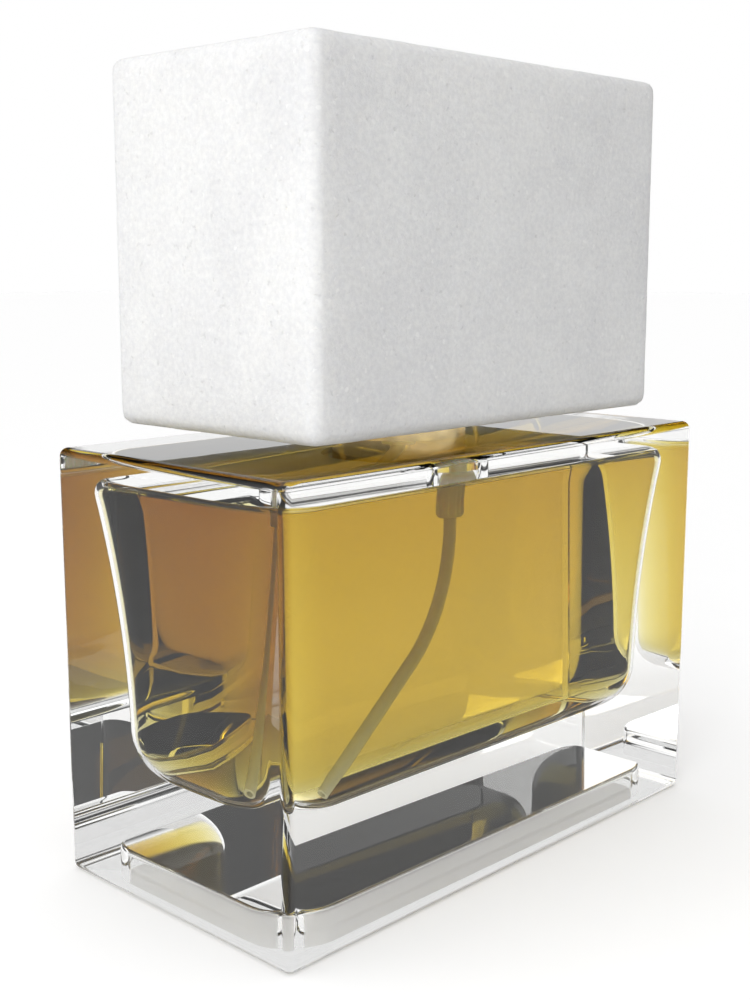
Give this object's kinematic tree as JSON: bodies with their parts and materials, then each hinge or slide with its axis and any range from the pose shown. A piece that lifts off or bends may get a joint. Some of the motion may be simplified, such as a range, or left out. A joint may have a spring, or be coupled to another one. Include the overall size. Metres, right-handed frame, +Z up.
{
  "type": "aftershave spray bottle",
  "caption": "Thick rectangular glass bottle of amber aftershave with a crimped spray pump, curved dip tube and a lift-off rectangular white stone cap.",
  "frame": {"origin": "centre of the base, on the surface the bottle stands on", "axes": "+Z up, X along the wide face, the wide front face with the spray nozzle looks along -Y"},
  "size_m": [0.078, 0.0406, 0.0998],
  "materials": {
    "clear_glass": "thick polished clear glass",
    "amber_liquid": "clear amber liquid",
    "label": "bare matt film",
    "natural_plastic": "natural moulded plastic",
    "clear_plastic": "clear flexible tube",
    "gasket": "matt elastomer",
    "bare_aluminium": "bright drawn",
    "gold_aluminium": "pale gold anodised, polished",
    "spring_steel": "bright stainless",
    "white_stone": "honed white marble"
  },
  "bodies": {
    "bottle": {"glass_bottle": "clear_glass", "aftershave": "amber_liquid", "base_label": "label", "dip_tube": "clear_plastic", "neck_gasket": "gasket", "crimp_ferrule": "bare_aluminium", "collar": "gold_aluminium", "pump_housing": "natural_plastic", "pump_turret": "natural_plastic", "return_spring": "spring_steel"},
    "valve_ball": {"inlet_ball": "spring_steel"},
    "plunger": {"pump_stem": "natural_plastic", "piston_pin": "natural_plastic"},
    "piston": {"pump_piston": "natural_plastic"},
    "button": {"actuator_core": "natural_plastic", "actuator_shell": "gold_aluminium", "nozzle_insert": "natural_plastic"},
    "cap": {"cap_block": "white_stone", "cap_liner": "natural_plastic"}
  },
  "joints": [
    {"name": "cap_lift", "type": "slide", "parent": "bottle", "child": "cap", "axis": [0, 0, 1], "range_m": [0, 0.026]},
    {"name": "pump_press", "type": "slide", "parent": "bottle", "child": "plunger", "axis": [0, 0, -1], "range_m": [0, 0.004], "stiffness_N_per_m": 2500, "springref_m": -0.003, "deforming": ["return_spring"]},
    {"name": "button_turn", "type": "hinge", "parent": "plunger", "child": "button", "pos_m": [0, 0, 0.0737], "axis": [0, 0, 1], "continuous": true},
    {"name": "piston_slip", "type": "slide", "parent": "plunger", "child": "piston", "axis": [0, 0, 1], "range_m": [0, 0.0005]},
    {"name": "inlet_ball_lift", "type": "slide", "parent": "bottle", "child": "valve_ball", "axis": [0, 0, 1], "range_m": [0, 0.0005]}
  ]
}
